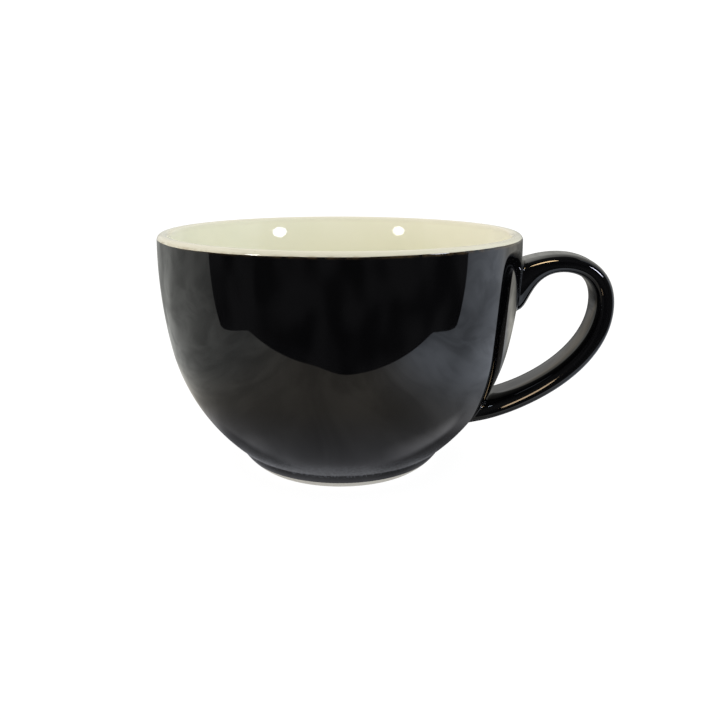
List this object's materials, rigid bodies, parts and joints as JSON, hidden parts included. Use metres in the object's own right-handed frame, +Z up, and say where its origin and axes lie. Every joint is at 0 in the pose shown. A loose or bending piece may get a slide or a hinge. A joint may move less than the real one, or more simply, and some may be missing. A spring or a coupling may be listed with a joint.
{
  "type": "latte cup",
  "caption": "Round-bellied ceramic latte cup on a low foot ring, black outside and cream inside, with a looped strap handle for drinking hot coffee.",
  "frame": {"origin": "centre of the foot ring, on the plane the cup stands on", "axes": "+Z up along the bowl's axis, +X from the axis towards the handle, +Y to the left of someone looking along +X"},
  "size_m": [0.1382, 0.1102, 0.0728],
  "materials": {
    "clay": "bare fired stoneware, matte",
    "slip": "fired joining slip, matte",
    "cream_glaze": "glossy cream glaze",
    "black_glaze": "glossy black glaze"
  },
  "bodies": {
    "root": {"bowl": "clay", "inner_glaze": "cream_glaze", "outer_glaze": "black_glaze", "base_glaze": "black_glaze", "handle": "clay", "handle_glaze": "black_glaze", "upper_slip_joint": "slip", "lower_slip_joint": "slip"}
  },
  "joints": []
}
